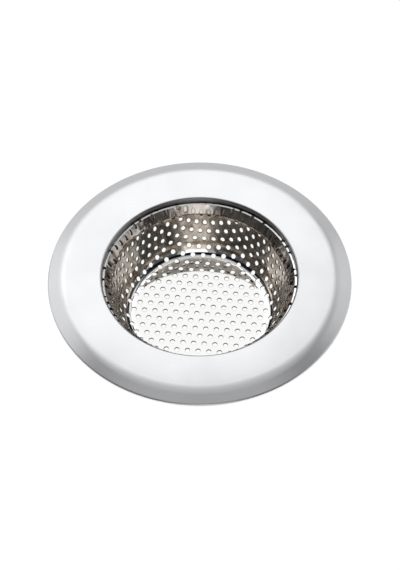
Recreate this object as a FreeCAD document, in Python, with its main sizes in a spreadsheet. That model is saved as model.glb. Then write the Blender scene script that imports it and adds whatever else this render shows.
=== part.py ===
import FreeCAD, Part
import math
import os
import Sketcher

# A drop-in sink strainer made of two steel pressings. The rim is a ring with a flat top, a
# bevelled skirt and a short neck, which goes over into a collar. The basket is drawn from one
# disc of perforated sheet, and its flared mouth sits in the collar, which follows it. The origin
# lies on the strainer's axis at the edge that the rim rests on, and +Z is up.

# Driving dimensions in millimetres and degrees, one cell of the sheet each.
SIZES = {
    # Rim: its visible face, from the resting edge over the top, down the neck and the collar.
    "rim_diameter": 113.0,
    "rim_height": 3.0,
    "rim_thickness": 0.6,
    "edge_land": 0.13,
    "edge_bend_radius": 0.75,
    "bevel_angle": 22.7,
    "shoulder_radius": 8.0,
    "neck_bend_radius": 1.0,
    "collar_bend_radius": 0.3,
    "collar_end": 0.9,
    # Basket: its cut edge stands below the rim's top, and angles are taken from the axis.
    "flare_diameter": 72.2,
    "flare_angle": 42.3,
    "flare_rise": 2.44,
    "flare_recess": 2.6,
    "basket_height": 21.1,
    "basket_thickness": 0.5,
    "wall_taper": 11.3,
    "foot_angle": 41.0,
    "foot_height": 4.75,
    "knee_radius": 2.0,
    "foot_radius": 4.0,
    "corner_radius": 3.5,
    # Gap between the basket's flare and the rim's neck and collar.
    "fit_clearance": 0.1,
    # Perforation of the flat sheet: staggered rows, turned and shifted under the disc's centre.
    "hole_diameter": 1.8,
    "hole_pitch": 4.0,
    "row_angle": -5.2,
    "row_shift_x": -1.1,
    "row_shift_y": -0.9,
    # How far each punch stands out of the sheet on both sides.
    "punch_overrun": 0.8,
}

doc = FreeCAD.newDocument("sink_strainer")
sheet = doc.addObject("Spreadsheet::Sheet", "Sizes")
for row, (alias, size) in enumerate(SIZES.items(), start=1):
    sheet.set(f"A{row}", alias.replace("_", " "))
    sheet.set(f"B{row}", str(size))
    sheet.setAlias(f"B{row}", alias)
doc.recompute()


def size_of(alias):
    """The value in the sheet's cell of that name."""
    return float(sheet.get(alias))


# Sizes that follow from the driving ones, used where a shape is first laid out.
rim_radius = size_of("rim_diameter") / 2
rim_top = size_of("rim_height")
bevel = math.radians(size_of("bevel_angle"))
taper = math.radians(size_of("wall_taper"))
flare = math.radians(size_of("flare_angle"))
flare_radius = size_of("flare_diameter") / 2
flare_top = rim_top - size_of("flare_recess")
basket_thickness = size_of("basket_thickness")
floor_top = flare_top - size_of("basket_height") + basket_thickness
neck_radius = flare_radius + size_of("fit_clearance")
knee_turn = flare - taper
flare_rise = size_of("flare_rise")
flare_run = flare_rise / math.cos(flare) + size_of("knee_radius") * math.tan(knee_turn / 2)
flare_end = (flare_radius - basket_thickness / math.cos(flare), flare_top)
knee_corner = (flare_end[0] - flare_run * math.sin(flare), flare_top - flare_run * math.cos(flare))

# The same sizes as expressions on the sheet's cells.
FLARE = "(Sizes.flare_angle * 1 deg)"
FLARE_TOP = "Sizes.rim_height - Sizes.flare_recess"
FLARE_RADIUS = "Sizes.flare_diameter / 2"
FLOOR_TOP = f"{FLARE_TOP} - Sizes.basket_height + Sizes.basket_thickness"
WALL_START = f"{FLOOR_TOP} + Sizes.foot_height"
NECK_RADIUS = f"{FLARE_RADIUS} + Sizes.fit_clearance"
NECK_LEVEL = f"{FLARE_TOP} + (Sizes.collar_bend_radius - Sizes.fit_clearance) * tan({FLARE} / 2)"
COLLAR_GAP = "Sizes.basket_thickness + Sizes.fit_clearance"
FUNNEL_LEVEL = f"{FLARE_TOP} - Sizes.flare_rise - ({COLLAR_GAP}) * sin{FLARE}"

START, END, CENTRE = 1, 2, 3
X_AXIS = -1


class BentSheet:
    """The section of a bent sheet on a body's XZ plane: two faces of lines and tangent arcs.

    The left face runs through the given corners and is rounded at each of them. The right face
    lies one thickness to its right, on the same bend centres. The section's start is square, and
    its end is square too or, after a level cut, level.
    """

    def __init__(self, body, name, corners, bend_radii, thickness, level_cut=False):
        plane = next(f for f in body.Origin.OriginFeatures if f.Role == "XZ_Plane")
        self.sketch = body.newObject("Sketcher::SketchObject", name)
        self.sketch.AttachmentSupport = [(plane, "")]
        self.sketch.MapMode = "FlatFace"
        self.level_cut = level_cut
        self.headings = [math.atan2(b[1] - a[1], b[0] - a[0]) for a, b in zip(corners, corners[1:])]
        self.turns = [after - before for before, after in zip(self.headings, self.headings[1:])]
        self.left = self.draw_face(corners, bend_radii)
        self.right_radii = self.offset_radii(bend_radii, thickness)
        self.right = self.draw_face(self.offset_corners(corners, thickness), self.right_radii)
        for left_arc, right_arc in zip(self.left["arcs"], self.right["arcs"]):
            self.add("Coincident", left_arc, CENTRE, right_arc, CENTRE)
        for line_number, point in ((0, START), (-1, END)):
            level = level_cut and point == END
            self.close_end(self.left["lines"][line_number], self.right["lines"][line_number], point, level)

    def offset_corners(self, corners, distance):
        """Each corner moved to the right, along the line that halves its turn."""
        first = [self.headings[0]] + self.headings
        second = self.headings + [self.headings[-1]]
        moved = []
        for (x, z), before, after in zip(corners, first, second):
            middle = (before + after) / 2
            reach = distance / math.cos((after - before) / 2)
            moved.append((x + reach * math.sin(middle), z - reach * math.cos(middle)))
        if self.level_cut:
            x, z = corners[-1]
            moved[-1] = (x + distance / math.sin(self.headings[-1]), z)
        return moved

    def offset_radii(self, bend_radii, distance):
        """Each bend's radius on a face that lies that far to the right."""
        return [r + math.copysign(distance, turn) for r, turn in zip(bend_radii, self.turns)]

    def draw_face(self, corners, bend_radii):
        """Draw one face and tie its lines and arcs together, end to end and tangent."""
        turns = [0.0] + self.turns + [0.0]
        trims = [r * abs(math.tan(turn / 2)) for r, turn in zip([0.0] + bend_radii + [0.0], turns)]
        lines = []
        for n, heading in enumerate(self.headings):
            ends = []
            for corner, trim in ((corners[n], trims[n]), (corners[n + 1], -trims[n + 1])):
                ends.append(FreeCAD.Vector(corner[0] + trim * math.cos(heading),
                                           corner[1] + trim * math.sin(heading), 0))
            lines.append(self.sketch.addGeometry(Part.LineSegment(*ends), False))
        arcs = []
        for n, (radius, turn) in enumerate(zip(bend_radii, self.turns)):
            before = self.sketch.Geometry[lines[n]].EndPoint
            side = math.copysign(1, turn)
            toward_centre = self.headings[n] + side * math.pi / 2
            centre = before + FreeCAD.Vector(math.cos(toward_centre), math.sin(toward_centre), 0) * radius
            angles = sorted((toward_centre - math.pi, toward_centre - math.pi + turn))
            circle = Part.Circle(centre, FreeCAD.Vector(0, 0, 1), radius)
            arc = self.sketch.addGeometry(Part.ArcOfCircle(circle, *angles), False)
            near, far = (START, END) if turn > 0 else (END, START)
            self.add("Tangent", lines[n], END, arc, near)
            self.add("Tangent", arc, far, lines[n + 1], START)
            arcs.append(arc)
        return {"lines": lines, "arcs": arcs}

    def close_end(self, left_line, right_line, point, level):
        """Close one end of the section with a line that is level, or square to both faces."""
        ends = [self.sketch.getPoint(line, point) for line in (left_line, right_line)]
        cap = self.sketch.addGeometry(Part.LineSegment(*ends), False)
        self.add("Coincident", left_line, point, cap, START)
        self.add("Coincident", right_line, point, cap, END)
        if level:
            self.add("Horizontal", cap)
        else:
            self.add("Perpendicular", left_line, cap)
        self.add("Parallel", left_line, right_line)

    def add(self, *terms):
        """Add a constraint without a size."""
        return self.sketch.addConstraint(Sketcher.Constraint(*terms))

    def drive(self, name, expression, *terms):
        """Add a constraint with a size, which an expression on the sheet's cells drives."""
        number = self.sketch.addConstraint(Sketcher.Constraint(*terms))
        self.sketch.renameConstraint(number, name)
        self.sketch.setExpression(f"Constraints.{name}", expression)

    def drive_bends(self, thickness, **radii):
        """Drive each bend's two radii, named and given in the order of the bends."""
        arcs = zip(radii.items(), self.turns, self.left["arcs"], self.right["arcs"], self.right_radii)
        for (name, expression), turn, left_arc, right_arc, right_radius in arcs:
            left_radius = self.sketch.Geometry[left_arc].Radius
            self.drive(name, expression, "Radius", left_arc, left_radius)
            sign = "+" if turn > 0 else "-"
            outside = f"{expression} {sign} {thickness}"
            self.drive(f"{name}_right", outside, "Radius", right_arc, right_radius)


def revolve(body, sketch):
    """Turn the section once round the strainer's axis."""
    turned = body.newObject("PartDesign::Revolution", sketch.Name + "_turned")
    turned.Profile = sketch
    turned.ReferenceAxis = (sketch, ["V_Axis"])
    turned.Angle = 360
    return turned


# Rim: the section runs from the collar's end up the wall and the flare, past which it forms a
# funnel, then up the neck, over the top and down the bevel.
collar_gap = basket_thickness + size_of("fit_clearance")
collar_knee_radius = size_of("knee_radius") - collar_gap
knee_shift = collar_gap / math.cos(knee_turn / 2)
collar_knee = (knee_corner[0] + knee_shift * math.cos((flare + taper) / 2),
               knee_corner[1] - knee_shift * math.sin((flare + taper) / 2))
collar_run = size_of("collar_end") + collar_knee_radius * math.tan(knee_turn / 2)
neck_corner_level = flare_top - size_of("fit_clearance") * math.tan(flare / 2)
neck_level = neck_corner_level + size_of("collar_bend_radius") * math.tan(flare / 2)
funnel_level = flare_top - flare_rise - collar_gap * math.sin(flare)
edge_corner_level = size_of("edge_land") + size_of("edge_bend_radius") * math.tan((math.pi / 2 - bevel) / 2)
rim_corners = [
    (collar_knee[0] - collar_run * math.sin(taper), collar_knee[1] - collar_run * math.cos(taper)),
    collar_knee,
    (neck_radius, neck_corner_level),
    (neck_radius, rim_top),
    (rim_radius - (rim_top - edge_corner_level) / math.tan(bevel), rim_top),
    (rim_radius, edge_corner_level),
    (rim_radius, 0.0),
]
rim_bends = [
    collar_knee_radius,
    size_of("collar_bend_radius"),
    size_of("neck_bend_radius"),
    size_of("shoulder_radius"),
    size_of("edge_bend_radius"),
]

rim_flange = doc.addObject("PartDesign::Body", "rim_flange")
rim = BentSheet(rim_flange, "rim_section", rim_corners, rim_bends, size_of("rim_thickness"))
collar, funnel, neck, top, skirt, edge = rim.left["lines"]
rim.drive_bends(
    "Sizes.rim_thickness",
    collar_knee=f"(Sizes.knee_radius - ({COLLAR_GAP}))",
    collar_bend="Sizes.collar_bend_radius",
    neck_bend="Sizes.neck_bend_radius",
    shoulder="Sizes.shoulder_radius",
    edge_bend="Sizes.edge_bend_radius",
)
rim.add("Vertical", neck)
rim.add("Horizontal", top)
rim.add("Vertical", edge)
rim.add("PointOnObject", edge, END, X_AXIS)
rim.drive("collar_heading", "90 deg - Sizes.wall_taper * 1 deg", "Angle", collar, math.pi / 2 - taper)
rim.drive("collar_end", "Sizes.collar_end", "Distance", collar, size_of("collar_end"))
rim.drive("funnel_heading", "90 deg - Sizes.flare_angle * 1 deg", "Angle", funnel, math.pi / 2 - flare)
rim.drive("funnel_level", FUNNEL_LEVEL, "DistanceY", X_AXIS, START, funnel, START, funnel_level)
rim.drive("neck_level", NECK_LEVEL, "DistanceY", X_AXIS, START, neck, START, neck_level)
rim.drive("neck_radius", NECK_RADIUS, "DistanceX", X_AXIS, START, neck, START, neck_radius)
rim.drive("rim_height", "Sizes.rim_height", "DistanceY", X_AXIS, START, top, START, rim_top)
rim.drive("bevel_heading", "-Sizes.bevel_angle * 1 deg", "Angle", skirt, -bevel)
rim.drive("edge_land", "Sizes.edge_land", "Distance", edge, size_of("edge_land"))
rim.drive("rim_radius", "Sizes.rim_diameter / 2", "DistanceX", X_AXIS, START, edge, END, rim_radius)
revolve(rim_flange, rim.sketch)

# Basket: the section runs along the floor's upper face, up the foot's slope and the wall, and out
# along the flare.
foot_angle = math.radians(size_of("foot_angle"))
wall_start = floor_top + size_of("foot_height")
foot_trim = size_of("foot_radius") * math.tan((foot_angle - taper) / 2)
foot_level = wall_start - foot_trim * math.cos(taper)
foot_corner = (knee_corner[0] - (knee_corner[1] - foot_level) * math.tan(taper), foot_level)
basket_corners = [
    (0.0, floor_top),
    (foot_corner[0] - (foot_level - floor_top) * math.tan(foot_angle), floor_top),
    foot_corner,
    knee_corner,
    flare_end,
]
basket_bends = [size_of("corner_radius"), size_of("foot_radius"), size_of("knee_radius")]

basket_pressing = doc.addObject("PartDesign::Body", "basket_pressing")
basket = BentSheet(basket_pressing, "basket_section", basket_corners, basket_bends, basket_thickness, True)
floor, foot, wall, flared = basket.left["lines"]
flared_below = basket.right["lines"][-1]
basket.drive_bends(
    "Sizes.basket_thickness",
    corner="Sizes.corner_radius",
    foot_bend="Sizes.foot_radius",
    knee="Sizes.knee_radius",
)
basket.add("Horizontal", floor)
basket.drive("floor_start", "0", "DistanceX", X_AXIS, START, floor, START, 0.0)
basket.drive("floor_top", FLOOR_TOP, "DistanceY", X_AXIS, START, floor, START, floor_top)
basket.drive("foot_heading", "90 deg - Sizes.foot_angle * 1 deg", "Angle", foot, math.pi / 2 - foot_angle)
basket.drive("wall_start", WALL_START, "DistanceY", X_AXIS, START, wall, START, wall_start)
basket.drive("wall_heading", "90 deg - Sizes.wall_taper * 1 deg", "Angle", wall, math.pi / 2 - taper)
basket.drive("flare_heading", "90 deg - Sizes.flare_angle * 1 deg", "Angle", flared, math.pi / 2 - flare)
basket.drive("flare_rise", "Sizes.flare_rise", "DistanceY", flared, START, flared, END, flare_rise)
basket.drive("flare_radius", FLARE_RADIUS, "DistanceX", X_AXIS, START, flared_below, END, flare_radius)
basket.drive("flare_top", FLARE_TOP, "DistanceY", X_AXIS, START, flared, END, flare_top)
revolve(basket_pressing, basket.sketch)
doc.recompute()


class DrawnSheet:
    """Where a point of the flat disc ends up on the drawn basket's middle face.

    Drawing keeps the sheet's area, so a circle of the disc goes to the ring that has the same
    area inside it: half the square of its radius is the sum of ring radius times travel, from
    the middle of the floor outward. The flare goes on past its cut edge in the same way.
    """

    def __init__(self, bent, corners, bend_radii):
        middle = bent.offset_corners(corners, basket_thickness / 2)
        radii = bent.offset_radii(bend_radii, basket_thickness / 2)
        trims = [r * abs(math.tan(turn / 2)) for r, turn in zip(radii, bent.turns)]
        starts, ends = [0.0] + trims, trims + [0.0]
        self.pieces = []
        for n, heading in enumerate(bent.headings):
            x, z = middle[n]
            along = (math.cos(heading), math.sin(heading))
            length = math.dist(middle[n], middle[n + 1]) - starts[n] - ends[n]
            start = (x + along[0] * starts[n], z + along[1] * starts[n])
            self.pieces.append((start, heading, 0.0, length))
            if n < len(radii):
                end = (start[0] + along[0] * length, start[1] + along[1] * length)
                curve = math.copysign(1 / radii[n], bent.turns[n])
                self.pieces.append((end, heading, curve, radii[n] * abs(bent.turns[n])))

    def follow(self, piece, travel):
        """Swept sum, ring radius, level and slope after some travel along a straight or bent piece."""
        (radius, level), heading, curve, _ = piece
        if curve == 0:
            swept = radius * travel + math.cos(heading) * travel ** 2 / 2
            return swept, radius + travel * math.cos(heading), level + travel * math.sin(heading), heading
        slope = heading + curve * travel
        rise = (math.cos(heading) - math.cos(slope)) / curve
        swept = radius * travel + (rise - travel * math.sin(heading)) / curve
        return swept, radius + (math.sin(slope) - math.sin(heading)) / curve, level + rise, slope

    def place(self, disc_radius):
        """Ring radius, level and slope from the floor's plane, for a circle of the flat disc."""
        swept = disc_radius ** 2 / 2
        for piece in self.pieces[:-1]:
            whole = self.follow(piece, piece[-1])[0]
            if swept <= whole:
                return self.solve(piece, piece[-1], swept)
            swept -= whole
        return self.solve(self.pieces[-1], self.pieces[-1][-1] + size_of("hole_pitch"), swept)

    def solve(self, piece, longest, swept):
        """Halve the run until the travel whose swept sum is the wanted one is found."""
        low, high = 0.0, longest
        for _ in range(60):
            travel = (low + high) / 2
            if self.follow(piece, travel)[0] < swept:
                low = travel
            else:
                high = travel
        return self.follow(piece, travel)[1:]

    def edge_radius(self):
        """Radius of the flat disc, whose edge becomes the flare's cut edge."""
        return math.sqrt(2 * sum(self.follow(piece, piece[-1])[0] for piece in self.pieces))


def punch(drawn, x, y):
    """A punch square to the drawn sheet, for a hole at that place on the flat disc.

    The hole is as wide round the axis as the ring has shrunk, and as long up the wall as the
    sheet has stretched, so its area stays that of the round hole.
    """
    disc_radius = math.hypot(x, y)
    radius, level, slope = drawn.place(disc_radius)
    hole_radius = size_of("hole_diameter") / 2
    length = basket_thickness + 2 * size_of("punch_overrun")
    if slope == 0:
        solid = Part.makeCylinder(hole_radius, length)
    else:
        stretch = disc_radius / radius
        outline = Part.Ellipse(FreeCAD.Vector(0, 0, 0), hole_radius * stretch, hole_radius / stretch)
        solid = Part.Face(Part.Wire(outline.toShape())).extrude(FreeCAD.Vector(0, 0, length))
    bearing = math.atan2(y, x)
    outward = FreeCAD.Vector(math.cos(bearing), math.sin(bearing), 0)
    upward = FreeCAD.Vector(0, 0, 1)
    along = outward * math.cos(slope) + upward * math.sin(slope)
    through = upward * math.cos(slope) - outward * math.sin(slope)
    turned = FreeCAD.Rotation(along, through.cross(along), through, "ZXY")
    middle = outward * radius + upward * level
    solid.Placement = FreeCAD.Placement(middle - through * (length / 2), turned)
    return solid


def staggered_holes(reach):
    """Places of the flat sheet's holes within that distance of the disc's centre."""
    pitch = size_of("hole_pitch")
    row_step = pitch * math.sin(math.pi / 3)
    angle = math.radians(size_of("row_angle"))
    count = math.ceil(reach / row_step) + 1
    for line in range(-count, count + 1):
        for place in range(-2 * count, 2 * count + 1):
            across = pitch * (place + (line % 2) / 2)
            up = row_step * line
            x = size_of("row_shift_x") + across * math.cos(angle) - up * math.sin(angle)
            y = size_of("row_shift_y") + across * math.sin(angle) + up * math.cos(angle)
            if math.hypot(x, y) < reach:
                yield x, y


drawn_sheet = DrawnSheet(basket, basket_corners, basket_bends)
hole_reach = drawn_sheet.edge_radius() + size_of("hole_diameter") / 2
hole_punches = doc.addObject("Part::Feature", "hole_punches")
punches = [punch(drawn_sheet, x, y) for x, y in staggered_holes(hole_reach)]
hole_punches.Shape = Part.makeCompound(punches)

perforated_basket = doc.addObject("Part::Cut", "perforated_basket")
perforated_basket.Base = basket_pressing
perforated_basket.Tool = hole_punches
doc.recompute()

for item in doc.Objects:
    if "Invalid" in item.State or "Error" in item.State:
        raise RuntimeError(f"{item.Label} failed: {item.State}")
sub_parts = [rim_flange, perforated_basket]
for sub_part in sub_parts:
    if sub_part.Shape.isNull() or not sub_part.Shape.isValid():
        raise RuntimeError(f"{sub_part.Label} has no valid shape")

os.makedirs("parts", exist_ok=True)
for sub_part in sub_parts:
    sub_part.Shape.exportStep(f"parts/{sub_part.Label}.step")
    solids, volume = len(sub_part.Shape.Solids), round(sub_part.Shape.Volume, 2)
    print(sub_part.Label, solids, volume, sub_part.Shape.BoundBox)
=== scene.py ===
import math

import bmesh
import bpy
import numpy as np
from mathutils import Matrix, Vector


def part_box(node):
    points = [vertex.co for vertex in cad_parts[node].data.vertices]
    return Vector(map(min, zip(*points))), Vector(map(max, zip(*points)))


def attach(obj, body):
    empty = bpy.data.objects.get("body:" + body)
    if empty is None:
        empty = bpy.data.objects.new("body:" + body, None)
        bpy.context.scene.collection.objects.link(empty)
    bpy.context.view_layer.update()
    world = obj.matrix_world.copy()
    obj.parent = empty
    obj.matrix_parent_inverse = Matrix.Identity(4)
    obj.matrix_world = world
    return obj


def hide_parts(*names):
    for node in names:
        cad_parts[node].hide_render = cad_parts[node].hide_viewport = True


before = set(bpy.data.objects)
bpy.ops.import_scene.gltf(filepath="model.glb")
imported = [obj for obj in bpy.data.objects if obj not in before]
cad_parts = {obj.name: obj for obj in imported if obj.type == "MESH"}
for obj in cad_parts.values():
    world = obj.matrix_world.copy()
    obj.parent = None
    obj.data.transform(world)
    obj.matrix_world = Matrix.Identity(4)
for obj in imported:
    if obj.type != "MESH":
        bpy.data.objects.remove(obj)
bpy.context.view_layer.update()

# Rim flange.
# A ring pressed from plain stainless sheet. Its bevelled skirt ends in a thin edge that rests on the
# sink. Inside, it rolls over into a short neck and a collar, which carries the basket's flared mouth.
_, rim_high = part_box("rim_flange")
basket_low, basket_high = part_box("perforated_basket")
rim_radius = rim_high.x
rim_top = rim_high.z
flare_radius = basket_high.x
flare_top = basket_high.z
# Lengths are in metres.
rim_sheet = 0.0006
edge_land = 0.00013
edge_bend = 0.00075
bevel = math.radians(19.5)
crown = math.radians(3.5)
crown_bend = 0.13
crown_start = 0.0400
shoulder_bend = 0.012
mouth_bend = 0.001
cut_rounding = 0.00014
collar_bend = 0.0003
collar_end = 0.0009
fit_gap = 0.0001
basket_sheet = 0.0005
flare = math.radians(42.3)
flare_rise = 0.00244
taper = math.radians(11.3)
knee_bend = 0.002
rim_sides = 288
rim_arc_step = math.radians(4)
rim_hold = 0.00004


def rounded_path(corners, radii, arc_step, hold):
    """A line through corners, in which each inner corner is rounded by its own radius.

    Before a corner, the line leaves its side by the radius times the tangent of half the turn. It
    follows the arc, and joins the next side as far behind the corner. A holding point lies close
    outside each end of an arc.
    """
    corners = np.asarray(corners, float)
    sides = np.diff(corners, axis=0)
    heading = np.unwrap(np.arctan2(sides[:, 1], sides[:, 0]))
    along = np.stack([np.cos(heading), np.sin(heading)], axis=1)
    runs = [corners[:1]]
    for n, radius in enumerate(radii):
        turn = heading[n + 1] - heading[n]
        start = corners[n + 1] - along[n] * radius * abs(math.tan(turn / 2))
        angle = heading[n] + turn * np.linspace(0, 1, max(2, math.ceil(abs(turn) / arc_step)) + 1)
        bent = np.stack([np.sin(angle) - np.sin(heading[n]), np.cos(heading[n]) - np.cos(angle)], axis=1)
        arc = start + math.copysign(radius, turn) * bent
        runs += [arc[:1] - along[n] * hold, arc, arc[-1:] + along[n + 1] * hold]
    return np.concatenate(runs + [corners[-1:]])


def moved_right(corners, distance):
    """The line moved to its right by a distance, with every side parallel to its old place.

    A corner moves along the mean of its two sides' normals, by the distance over the cosine of half
    the turn.
    """
    corners = np.asarray(corners, float)
    sides = np.diff(corners, axis=0)
    heading = np.unwrap(np.arctan2(sides[:, 1], sides[:, 0]))
    before = np.concatenate([heading[:1], heading])
    after = np.concatenate([heading, heading[-1:]])
    middle = (before + after) / 2
    reach = distance / np.cos((after - before) / 2)
    return corners + np.stack([np.sin(middle), -np.cos(middle)], axis=1) * reach[:, None]


def new_mesh(name, points, faces):
    """A smooth-shaded mesh from an array of points and one of faces."""
    mesh = bpy.data.meshes.new(name)
    mesh.from_pydata(points.tolist(), [], faces.tolist())
    mesh.shade_smooth()
    return mesh


def shown(mesh):
    """An object at the origin that shows the mesh, under the mesh's name."""
    piece = bpy.data.objects.new(mesh.name, mesh)
    bpy.context.scene.collection.objects.link(piece)
    return piece


def turned_ring(name, section, sides):
    """A ring: each point (r, z) of a closed section, at each angle a, lies at r cos a, r sin a, z."""
    radius, level = section.T
    angle = np.linspace(0, 2 * np.pi, sides, endpoint=False)[:, None]
    levels = np.broadcast_to(level, (sides, len(level)))
    points = np.stack([np.cos(angle) * radius, np.sin(angle) * radius, levels], axis=-1)
    here = np.arange(levels.size).reshape(levels.shape)
    beside = np.roll(here, -1, axis=0)
    faces = np.stack([here, beside, np.roll(beside, -1, axis=1), np.roll(here, -1, axis=1)], axis=-1)
    return new_mesh(name, points.reshape(-1, 3), faces.reshape(-1, 4))


neck_inside = flare_radius + fit_gap
knee_turn = flare - taper
flare_along = np.array([math.sin(flare), math.cos(flare)])
wall_along = np.array([math.sin(taper), math.cos(taper)])
flare_end = np.array([flare_radius - basket_sheet / math.cos(flare), flare_top])
knee = flare_end - flare_along * (flare_rise / math.cos(flare) + knee_bend * math.tan(knee_turn / 2))
collar_knee = moved_right([knee - wall_along, knee, flare_end], basket_sheet + fit_gap)[1]
collar_knee_bend = knee_bend - basket_sheet - fit_gap
edge_corner = edge_land + edge_bend * math.tan(math.pi / 4 - bevel / 2)
crown_corner = crown_start + crown_bend * math.tan(crown / 2)
bevel_level = edge_corner + rim_radius * math.tan(bevel)
crown_level = rim_top + crown_corner * math.tan(crown)
shoulder = (bevel_level - crown_level) / (math.tan(bevel) - math.tan(crown))
shown_face = [
    collar_knee - wall_along * (collar_end + collar_knee_bend * math.tan(knee_turn / 2)),
    collar_knee,
    (neck_inside, flare_top - fit_gap * math.tan(flare / 2)),
    (neck_inside, rim_top),
    (crown_corner, rim_top),
    (shoulder, crown_level - shoulder * math.tan(crown)),
    (rim_radius, edge_corner),
    (rim_radius, 0.0),
]
hidden_face = moved_right(shown_face, rim_sheet)[::-1]
end_middle = (np.asarray(shown_face[:1]) + hidden_face[-1:]) / 2
rim_outline = np.concatenate([end_middle, shown_face, hidden_face, end_middle])
rim_bends = [
    cut_rounding,
    collar_knee_bend,
    collar_bend,
    mouth_bend,
    crown_bend,
    shoulder_bend,
    edge_bend,
    cut_rounding,
    cut_rounding,
    edge_bend - rim_sheet,
    shoulder_bend - rim_sheet,
    crown_bend - rim_sheet,
    mouth_bend - rim_sheet,
    collar_bend + rim_sheet,
    collar_knee_bend - rim_sheet,
    cut_rounding,
]
rim_section = rounded_path(rim_outline, rim_bends, rim_arc_step, rim_hold)
rim = shown(turned_ring("pressed_rim", rim_section[:-1], rim_sides))

satin_pale = (0.785, 0.79, 0.80, 1)
satin_grey = (0.745, 0.75, 0.765, 1)
# Painted shade: the neck's grey, and the black just over the basket's edge, stand in for shade in the
# recess.
neck_shade_grey = (0.36, 0.36, 0.365, 1)
gap_shadow_black = (0.04, 0.04, 0.04, 1)
collar_brown = (0.62, 0.58, 0.54, 1)
satin_roughness = (0.27, 0.33)
collar_roughness_change = -0.17
neck_margin = 0.0004
neck_fade = 0.0006
gap_shadow_height = 0.0007
gap_shadow_fade = 0.0007
collar_margin = 0.0002
collar_fade = 0.0005
joint_fade = 0.0002
ring_radius = 0.006
ring_strength = 0.03
ring_depth = 0.0002
usual_noise = (0.3, 0.7)


def add_node(tree, kind, inputs=None, **settings):
    """A node with its settings, whose inputs are values or other nodes' outputs."""
    node = tree.nodes.new(kind)
    for name, setting in settings.items():
        setattr(node, name, setting)
    for name, given in (inputs or {}).items():
        if isinstance(given, bpy.types.NodeSocket):
            tree.links.new(given, node.inputs[name])
        else:
            node.inputs[name].default_value = given
    return node


def combined(tree, operation, *terms):
    """One value from two or three others, by the Math node's operation of that name."""
    return add_node(tree, "ShaderNodeMath", dict(enumerate(terms)), operation=operation).outputs["Value"]


def between(tree, share, low, high, start, end):
    """A value that goes from low to high while share goes from start to end."""
    moved = add_node(tree, "ShaderNodeMapRange", {
        "Value": share,
        "From Min": start,
        "From Max": end,
        "To Min": low,
        "To Max": high,
    })
    return moved.outputs["Result"]


def rising(tree, value, start, width):
    """A mask that rises from 0 at the start to 1 over a width."""
    return between(tree, value, 0.0, 1.0, start, start + width)


def falling(tree, value, start, width):
    """A mask that falls from 1 at the start to 0 over a width."""
    return between(tree, value, 1.0, 0.0, start, start + width)


def mixed(tree, share, first, second):
    """A colour that goes from first to second while share goes from 0 to 1."""
    first_socket = 6
    second_socket = 7
    colour_output = 2
    mix = add_node(tree, "ShaderNodeMix", {
        "Factor": share,
        first_socket: first,
        second_socket: second,
    }, data_type="RGBA")
    return mix.outputs[colour_output]


def noise(tree, place, scale, detail, roughness, distortion=0.0):
    """Cloudy noise from 0 to 1 at a place. Most of it lies within usual_noise."""
    cloud = add_node(tree, "ShaderNodeTexNoise", {
        "Vector": place,
        "Scale": scale,
        "Detail": detail,
        "Roughness": roughness,
        "Distortion": distortion,
    })
    return cloud.outputs["Fac"]


def make_round_place():
    """Shared group: a place given as its direction from the axis, its distance and its height.

    The direction is a unit vector, so that noise on it has no seam round the axis.
    """
    group = bpy.data.node_groups.new("round_place", "ShaderNodeTree")
    group.interface.new_socket("Place", in_out="INPUT", socket_type="NodeSocketVector")
    group.interface.new_socket("Direction", in_out="OUTPUT", socket_type="NodeSocketVector")
    group.interface.new_socket("Distance", in_out="OUTPUT", socket_type="NodeSocketFloat")
    group.interface.new_socket("Height", in_out="OUTPUT", socket_type="NodeSocketFloat")
    given = group.nodes.new("NodeGroupInput").outputs["Place"]
    result = group.nodes.new("NodeGroupOutput")
    level = add_node(group, "ShaderNodeVectorMath", {0: given, 1: (1, 1, 0)}, operation="MULTIPLY")
    length = add_node(group, "ShaderNodeVectorMath", {0: level.outputs["Vector"]}, operation="LENGTH")
    unit = add_node(group, "ShaderNodeVectorMath", {0: level.outputs["Vector"]}, operation="NORMALIZE")
    apart = add_node(group, "ShaderNodeSeparateXYZ", {"Vector": given})
    group.links.new(unit.outputs["Vector"], result.inputs["Direction"])
    group.links.new(length.outputs["Value"], result.inputs["Distance"])
    group.links.new(apart.outputs["Z"], result.inputs["Height"])
    return group


round_place = make_round_place()


def round_spot(tree, place):
    """The direction, distance and height of a place, from the shared group."""
    spot = add_node(tree, "ShaderNodeGroup", node_tree=round_place)
    tree.links.new(place, spot.inputs["Place"])
    return spot.outputs["Direction"], spot.outputs["Distance"], spot.outputs["Height"]


def stretched(tree, direction, radius, travel, share):
    """A place for noise: the direction times a radius, with a share of a travel laid along the axis."""
    along = combined(tree, "MULTIPLY", travel, share)
    lift = add_node(tree, "ShaderNodeCombineXYZ", {"Z": along})
    spread = add_node(tree, "ShaderNodeVectorMath", {0: direction, "Scale": radius}, operation="SCALE")
    total = add_node(tree, "ShaderNodeVectorMath", {
        0: spread.outputs["Vector"],
        1: lift.outputs["Vector"],
    }, operation="ADD")
    return total.outputs["Vector"]


def steel_material(name):
    """A new metal material: its node tree, its shader and the object's own coordinates."""
    material = bpy.data.materials.new(name)
    material.use_nodes = True
    tree = material.node_tree
    shader = tree.nodes["Principled BSDF"]
    shader.inputs["Metallic"].default_value = 1.0
    return material, tree, shader, add_node(tree, "ShaderNodeTexCoord").outputs["Object"]


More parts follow.
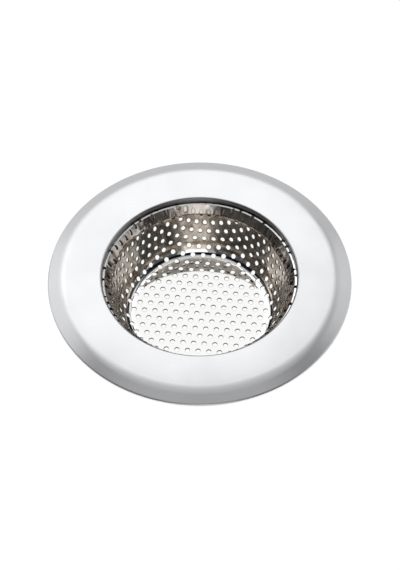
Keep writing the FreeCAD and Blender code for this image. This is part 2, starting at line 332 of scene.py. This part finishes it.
def rim_steel():
    """Satin stainless steel: very fine rings of spindle polish under faint smears.

    The neck is painted with shade: grey, and black just over the basket's edge. The collar is browner and
    smoother.
    """
    material, tree, shader, place = steel_material("satin_rim_steel")
    direction, distance, height = round_spot(tree, place)
    smear = noise(tree, place, scale=45.0, detail=3.0, roughness=0.55, distortion=0.6)
    outward = stretched(tree, direction, ring_radius, distance, share=1.0)
    rings = noise(tree, outward, scale=1500.0, detail=1.0, roughness=0.6)
    polished = mixed(tree, smear, satin_pale, satin_grey)
    # Painted shade on the neck: grey, and black just over the basket's edge.
    inward = falling(tree, distance, neck_inside + neck_margin, neck_fade)
    above = rising(tree, height, flare_top - joint_fade, joint_fade)
    neck = combined(tree, "MULTIPLY", inward, above)
    # Painted shadow: black on the neck just over the basket's edge.
    seam = falling(tree, height, flare_top + gap_shadow_height, gap_shadow_fade)
    painted_neck_shade = mixed(tree, seam, neck_shade_grey, gap_shadow_black)
    below = falling(tree, height, flare_top - fit_gap - joint_fade, joint_fade)
    behind = falling(tree, distance, neck_inside + collar_margin, collar_fade)
    collar = combined(tree, "MULTIPLY", below, behind)
    carrying = mixed(tree, collar, polished, collar_brown)
    tone = mixed(tree, neck, carrying, painted_neck_shade)
    tree.links.new(tone, shader.inputs["Base Color"])
    satin = between(tree, smear, *satin_roughness, *usual_noise)
    rough = combined(tree, "MULTIPLY_ADD", collar, collar_roughness_change, satin)
    tree.links.new(rough, shader.inputs["Roughness"])
    bump = add_node(tree, "ShaderNodeBump", {
        "Height": rings,
        "Strength": ring_strength,
        "Distance": ring_depth,
    })
    tree.links.new(bump.outputs["Normal"], shader.inputs["Normal"])
    return material


rim.data.materials.append(rim_steel())
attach(rim, "root")
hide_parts("rim_flange")

# Perforated basket.
# A cup drawn from one disc of bright stainless sheet with round holes in staggered rows. The raw edge
# of its flared mouth is cut level through the holes, which notch it, and lies inside the rim's neck.
foot_angle = math.radians(41.0)
foot_height = 0.00475
foot_bend = 0.004
corner_bend = 0.0035
hole_radius = 0.0009
hole_pitch = 0.004
hole_roll = 0.00015
hole_hold = 0.00004
hole_burr = 0.00005
hole_sides = 18
row_angle = math.radians(-5.2)
row_shift = np.array([-0.0011, -0.0009])
dish_depth = 0.00020
flare_overrun = 2 * hole_pitch
meridian_arc_step = math.radians(1)
meridian_hold = 0.00001
meridian_steps = 6000
upper_steps = 1500
axis_guard = 1e-9
join_distance = 2e-6
cut_tolerance = 1e-7
sharp_angle = math.radians(35)


def basket_meridian():
    """The drawn sheet's middle face, from the axis outward, with the flat disc's radius there.

    Drawing keeps the sheet's area, so half the square of the disc's radius is the sum of ring
    radius times travel. The flare goes on past its cut edge, where it is cut off later. Columns:
    disc radius, ring radius, level and slope.
    """
    half = basket_sheet / 2
    floor_level = basket_low.z + basket_sheet
    foot_trim = foot_bend * math.tan((foot_angle - taper) / 2)
    foot_level = floor_level + foot_height - foot_trim * math.cos(taper)
    foot = knee - wall_along * (knee[1] - foot_level) / math.cos(taper)
    upper_face = [
        (0.0, floor_level),
        (foot[0] - (foot_level - floor_level) * math.tan(foot_angle), floor_level),
        foot,
        knee,
        flare_end + flare_along * flare_overrun,
    ]
    corners = moved_right(upper_face, half)
    bends = [corner_bend + half, foot_bend + half, knee_bend - half]
    line = rounded_path(corners, bends, meridian_arc_step, meridian_hold)
    travel = np.append(0, np.cumsum(np.hypot(*np.diff(line, axis=0).T)))
    steps = np.linspace(0, travel[-1], meridian_steps)
    radius = np.interp(steps, travel, line[:, 0])
    level = np.interp(steps, travel, line[:, 1])
    rings = (radius[1:] + radius[:-1]) / 2 * np.diff(steps)
    disc = np.sqrt(2 * np.append(0, np.cumsum(rings)))
    slope = np.unwrap(np.arctan2(np.gradient(level), np.gradient(radius)))
    return np.stack([disc, radius, level, slope], axis=1)


def hole_cells(reach):
    """Centres of the flat sheet's holes, in staggered rows, within a distance of its middle.

    Rows lie a pitch times the sine of 60 degrees apart, every other one moved by half a pitch. The
    whole is turned by the row angle and then shifted.
    """
    row_step = hole_pitch * math.sin(math.pi / 3)
    count = math.ceil(reach / row_step) + 1
    row, place = np.mgrid[-count:count + 1, -2 * count:2 * count + 1]
    across = (hole_pitch * (place + (row % 2) / 2)).ravel()
    up = (row_step * row).ravel()
    turned = np.stack([
        across * math.cos(row_angle) - up * math.sin(row_angle),
        across * math.sin(row_angle) + up * math.cos(row_angle),
    ], axis=1)
    centres = row_shift + turned
    return centres[np.hypot(*centres.T) < reach]


def perforated_sheet(name):
    """The drawn sheet, as one six-sided cell round each hole of the flat disc.

    On the flat disc, a point at angle a and share t of a cell lies between the hole's edge and the
    cell's border, which is half the pitch over the cosine of a's angle from the nearest side. The
    profile over t runs in along the upper face, down through the hole and out along the lower face.
    Each point is then put on the drawn sheet's meridian and moved along the slope's normal. Where the
    disc was drawn narrower, the sheet also swells round each hole: the mean of three cosine waves
    across the rows, times the strain.
    """
    table = basket_meridian()
    # In its upper part the meridian only rises, so that a level has one place on it.
    upper = table[-upper_steps:]
    disc_edge = np.interp(flare_top, upper[:, 2], upper[:, 0])
    centres = hole_cells(disc_edge + hole_pitch)
    half = basket_sheet / 2
    roll = np.radians([0, 45, 90])
    share = np.array([1, 0.5, 0, 0, 0, 0, 0, 0, 0.5, 1])
    inset = np.concatenate([
        [0, 0, hole_roll + hole_hold],
        hole_roll * (1 - np.sin(roll)),
        [0, hole_burr, 0, 0],
    ])
    lift = np.concatenate([
        [half, half, half],
        half - hole_roll * (1 - np.cos(roll)),
        [hole_burr - half, -half, -half, -half],
    ])
    marks = {
        "punched": np.array([0, 0, 0, 0, 0.5, 1, 1, 0, 0, 0]),
        "inner_face": (lift > 0).astype(float),
    }
    angle = np.radians((np.arange(hole_sides) + 0.5) * 360 / hole_sides)
    border = hole_pitch / 2 / np.cos((angle + np.pi / 6) % (np.pi / 3) - np.pi / 6)
    reach = hole_radius + inset[:, None] + (border - hole_radius) * share[:, None]
    turned = angle + row_angle
    x = centres[:, 0, None, None] + reach * np.cos(turned)
    y = centres[:, 1, None, None] + reach * np.sin(turned)
    disc = np.hypot(x, y)
    radius, level, slope = (np.interp(disc, table[:, 0], column) for column in table[:, 1:].T)
    strain = disc / np.maximum(radius, axis_guard) - 1
    waves = np.radians([30, 90, 150]) + row_angle
    swing = 4 * np.pi / math.sqrt(3) / hole_pitch
    phase = [swing * ((x - row_shift[0]) * np.cos(w) + (y - row_shift[1]) * np.sin(w)) for w in waves]
    dish = dish_depth * strain * np.mean(np.cos(phase), axis=0)
    out = lift[:, None] + dish
    ring = radius - np.sin(slope) * out
    safe = np.maximum(disc, axis_guard)
    points = np.stack([ring * x / safe, ring * y / safe, level + np.cos(slope) * out], axis=-1)
    here = np.arange(x.size).reshape(x.shape)
    beside = np.roll(here, -1, axis=2)
    faces = np.stack([here[:, :-1], here[:, 1:], beside[:, 1:], beside[:, :-1]], axis=-1)
    mesh = new_mesh(name, points.reshape(-1, 3), faces.reshape(-1, 4))
    for mark, strength in marks.items():
        marked = mesh.attributes.new(mark, "FLOAT", "POINT")
        marked.data.foreach_set("value", np.broadcast_to(strength[:, None], x.shape).ravel())
    return mesh


def joined_and_trimmed(mesh, level):
    """Joins the cells at their borders, cuts off all above the level and closes the cut edge.

    The faces that close it are marked in an attribute of their own.
    """
    work = bmesh.new()
    work.from_mesh(mesh)
    bmesh.ops.remove_doubles(work, verts=work.verts, dist=join_distance)
    cut = bmesh.ops.bisect_plane(
        work,
        geom=work.verts[:] + work.edges[:] + work.faces[:],
        dist=cut_tolerance,
        plane_co=(0, 0, level),
        plane_no=(0, 0, 1),
        clear_outer=True,
    )
    edges = [item for item in cut["geom_cut"] if isinstance(item, bmesh.types.BMEdge)]
    mark = work.faces.layers.float.new("cut_edge")
    for face in bmesh.ops.holes_fill(work, edges=edges, sides=0)["faces"]:
        face[mark] = 1.0
    bmesh.ops.recalc_face_normals(work, faces=work.faces)
    work.to_mesh(mesh)
    work.free()
    mesh.shade_smooth()
    mesh.set_sharp_from_angle(angle=sharp_angle)
    return mesh


basket = shown(joined_and_trimmed(perforated_sheet("drawn_basket"), flare_top))

floor_pale = (0.745, 0.745, 0.735, 1)
floor_grey = (0.70, 0.70, 0.69, 1)
# Painted highlight: a near-white ring on the inner face of the floor's corner bend.
corner_highlight_white = (0.97, 0.97, 0.965, 1)
# Painted dark reflection: a black line low on the inner face, at the floor's corner.
dark_reflection_black = (0.06, 0.06, 0.06, 1)
# Painted reflection: warm wall and mouth tones, mottled at random, stand in for what the drawn wall
# mirrors.
wall_reflection_dark = (0.40, 0.345, 0.285, 1)
wall_reflection_pale = (0.88, 0.79, 0.68, 1)
mouth_reflection_dark = (0.32, 0.275, 0.24, 1)
mouth_reflection_pale = (0.84, 0.78, 0.715, 1)
# Painted shade: the walls of the holes are near black.
hole_wall_shade = (0.09, 0.09, 0.09, 1)
# Painted highlight: the cut edge is near white.
cut_highlight_white = (0.96, 0.96, 0.95, 1)
floor_roughness = (0.04, 0.06)
wall_roughness = (0.12, 0.20)
cut_roughness_change = 0.1
line_height = 0.0008
line_width = 0.0006
line_fade = 0.0002
corner_radius = 0.0245
corner_fade = 0.0007
drawn_height = 0.0021
drawn_fade = 0.0007
mouth_depth = 0.0042
mouth_fade = 0.0024
flow_radius = 0.033
flow_share = 0.35
wave_depth = 0.00013
burr_tilt = 0.30


def marked_share(tree, mark):
    """The mesh's own attribute of that name, from 0 to 1."""
    return add_node(tree, "ShaderNodeAttribute", attribute_name=mark).outputs["Fac"]


def basket_steel():
    """Bright stainless sheet, clean on the floor, with painted reflection in warm tones mottled at random
    on the drawn wall.

    On the inner face, a pale ring of painted highlight and a black line of painted dark reflection mark the
    floor's corner.
    The walls of the holes are dark with painted shade. The cut edge is bright with a painted highlight, and
    a burr raises its outer side. Bump heights are in metres.
    """
    material, tree, shader, place = steel_material("bright_basket_steel")
    direction, distance, height = round_spot(tree, place)
    inner_face = marked_share(tree, "inner_face")
    punched = marked_share(tree, "punched")
    cut = marked_share(tree, "cut_edge")
    drawn = rising(tree, height, basket_low.z + drawn_height, drawn_fade)
    # Painted dark reflection: the black line's band of height on the inner face.
    line_start = rising(tree, height, basket_low.z + line_height, line_fade)
    line_end = falling(tree, height, basket_low.z + line_height + line_width, line_fade)
    line = combined(tree, "MULTIPLY", combined(tree, "MULTIPLY", line_start, line_end), inner_face)
    # Painted highlight on the inner face of the corner bend.
    corner = combined(tree, "MULTIPLY", rising(tree, distance, corner_radius, corner_fade), inner_face)
    mouth = rising(tree, height, flare_top - mouth_depth, mouth_fade)
    flow = stretched(tree, direction, flow_radius, height, flow_share)
    streak = noise(tree, flow, scale=900.0, detail=3.0, roughness=0.6, distortion=0.4)
    patch = noise(tree, flow, scale=200.0, detail=1.5, roughness=0.5, distortion=0.8)
    wave = noise(tree, flow, scale=300.0, detail=0.6, roughness=0.5, distortion=0.3)
    grain = noise(tree, place, scale=1500.0, detail=2.0, roughness=0.5)
    # Painted reflection on the drawn wall, mottled at random.
    shade = between(tree, patch, 0.0, 1.0, *usual_noise)
    wall_reflection_tone = mixed(tree, shade, wall_reflection_dark, wall_reflection_pale)
    mouth_reflection_tone = mixed(tree, shade, mouth_reflection_dark, mouth_reflection_pale)
    side_reflection_tone = mixed(tree, mouth, wall_reflection_tone, mouth_reflection_tone)
    floor_tone = mixed(tree, grain, floor_pale, floor_grey)
    highlighted_tone = mixed(tree, corner, floor_tone, corner_highlight_white)
    reflection_lined_tone = mixed(tree, line, highlighted_tone, dark_reflection_black)
    sheet_tone = mixed(tree, drawn, reflection_lined_tone, side_reflection_tone)
    # Painted shade on the walls of the holes.
    shaded_hole_tone = mixed(tree, punched, sheet_tone, hole_wall_shade)
    # Painted highlight on the cut edge.
    tone = mixed(tree, cut, shaded_hole_tone, cut_highlight_white)
    tree.links.new(tone, shader.inputs["Base Color"])
    worn = add_node(tree, "ShaderNodeMix", {
        "Factor": drawn,
        "A": between(tree, grain, *floor_roughness, *usual_noise),
        "B": between(tree, streak, *wall_roughness, *usual_noise),
    }).outputs["Result"]
    rough = combined(tree, "MULTIPLY_ADD", cut, cut_roughness_change, worn)
    tree.links.new(rough, shader.inputs["Roughness"])
    uneven = combined(tree, "MULTIPLY", wave, drawn)
    burr = combined(tree, "MULTIPLY", combined(tree, "MULTIPLY", distance, cut), burr_tilt)
    swell = combined(tree, "MULTIPLY_ADD", uneven, wave_depth, burr)
    bump = add_node(tree, "ShaderNodeBump", {"Height": swell, "Strength": 1.0, "Distance": 1.0})
    tree.links.new(bump.outputs["Normal"], shader.inputs["Normal"])
    return material


basket.data.materials.append(basket_steel())
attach(basket, "root")
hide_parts("perforated_basket")

# Floor.
# A plain white sheet under the basket. To the camera and in metal it is nearly white by itself, dimmer
# in metal where the basket shades it. The rest is lamplight, so that the shadow stays on it.
floor_half = 5.0
floor_glow = 0.93
shaded_glow_share = 0.25
shaded_radius = 0.026
shaded_fade = 0.004
paper_tone = (0.2, 0.2, 0.2, 1)
floor_corners = np.array([[-1, -1, 0], [1, -1, 0], [1, 1, 0], [-1, 1, 0]]) * floor_half
floor_mesh = new_mesh("floor", floor_corners + [0, 0, basket_low.z], np.array([[0, 1, 2, 3]]))
floor = shown(floor_mesh)


def floor_white():
    """Matt white, with its own glow for rays from the camera and from metal."""
    material = bpy.data.materials.new("floor_white")
    material.use_nodes = True
    tree = material.node_tree
    tree.nodes.clear()
    path = add_node(tree, "ShaderNodeLightPath")
    place = add_node(tree, "ShaderNodeTexCoord").outputs["Object"]
    _, distance, _ = round_spot(tree, place)
    open_share = between(tree, distance, shaded_glow_share, 1.0, shaded_radius, shaded_radius + shaded_fade)
    mirrored = combined(tree, "MULTIPLY", path.outputs["Is Glossy Ray"], open_share)
    direct = combined(tree, "MAXIMUM", path.outputs["Is Camera Ray"], mirrored)
    seen = combined(tree, "MAXIMUM", direct, path.outputs["Is Transmission Ray"])
    glow = combined(tree, "MULTIPLY", seen, floor_glow)
    light = add_node(tree, "ShaderNodeEmission", {"Strength": glow})
    paper = add_node(tree, "ShaderNodeBsdfDiffuse", {"Color": paper_tone})
    both = add_node(tree, "ShaderNodeAddShader", {0: light.outputs["Emission"], 1: paper.outputs["BSDF"]})
    add_node(tree, "ShaderNodeOutputMaterial", {"Surface": both.outputs["Shader"]})
    return material


floor_mesh.materials.append(floor_white())

# Light.
# Soft panels in a nearly dark room, which the steel mirrors: a wall and a panel behind, two panels
# overhead, a wall at each side, a small card at the right, and a card with a wider glow in front.
room_tone = (0.07, 0.07, 0.072, 1)
world = bpy.data.worlds.new("grey_room")
world.use_nodes = True
world.node_tree.nodes["Background"].inputs["Color"].default_value = room_tone
bpy.context.scene.world = world


def soft_panel(name, azimuth, elevation, distance, width, height, power):
    """A rectangular lamp at that bearing from the object, turned to it.

    The azimuth goes clockwise from +Y, seen from above.
    """
    lamp = bpy.data.lights.new(name, "AREA")
    lamp.shape = "RECTANGLE"
    lamp.size = width
    lamp.size_y = height
    lamp.energy = power
    bearing = math.radians(azimuth)
    height_angle = math.radians(elevation)
    away = Vector((
        math.sin(bearing) * math.cos(height_angle),
        math.cos(bearing) * math.cos(height_angle),
        math.sin(height_angle),
    ))
    panel = bpy.data.objects.new(name, lamp)
    panel.location = away * distance
    panel.rotation_euler = away.to_track_quat("Z", "Y").to_euler()
    panel.visible_camera = False
    bpy.context.scene.collection.objects.link(panel)


soft_panel("back_wall", azimuth=0, elevation=14, distance=3.0, width=3.6, height=2.0, power=12.0)
soft_panel("back_panel", azimuth=-5, elevation=48, distance=2.0, width=1.5, height=1.3, power=7.6)
soft_panel("top_panel", azimuth=0, elevation=77, distance=2.0, width=1.8, height=0.8, power=2.4)
soft_panel("front_top_panel", azimuth=180, elevation=82.5, distance=2.0, width=1.9, height=0.67, power=1.7)
soft_panel("left_wall", azimuth=-58, elevation=34, distance=2.5, width=2.1, height=2.0, power=12.0)
soft_panel("right_wall", azimuth=64, elevation=30, distance=2.5, width=2.6, height=2.0, power=11.8)
soft_panel("right_card", azimuth=108, elevation=14, distance=2.0, width=0.9, height=0.6, power=1.2)
soft_panel("front_card", azimuth=176, elevation=28, distance=2.0, width=0.9, height=1.0, power=3.0)
soft_panel("front_glow", azimuth=176, elevation=28, distance=2.0, width=1.6, height=1.1, power=1.6)

# Camera.
# Looks along +Y from above, from the distance that fits the rim's ellipses in the photograph. Its
# small shift and roll give the photograph's framing.
camera_elevation = math.radians(53.04)
camera_distance = 0.769
camera_roll = math.radians(0.30)
sensor_width = 36.0
lens_length = 130.6
shift_right = 0.00065
shift_up = -0.0112
lens = bpy.data.cameras.new("camera")
lens.sensor_fit = "AUTO"
lens.sensor_width = sensor_width
lens.lens = lens_length
lens.shift_x = shift_right
lens.shift_y = shift_up
camera = bpy.data.objects.new("camera", lens)
aim = Vector((0, 0, flare_top))
toward = Vector((0, -math.cos(camera_elevation), math.sin(camera_elevation)))
camera.location = aim + toward * camera_distance
camera_turn = toward.to_track_quat("Z", "Y").to_matrix() @ Matrix.Rotation(-camera_roll, 3, "Z")
camera.rotation_euler = camera_turn.to_euler()
bpy.context.scene.collection.objects.link(camera)
bpy.context.scene.camera = camera
bpy.context.scene.view_settings.view_transform = "Standard"
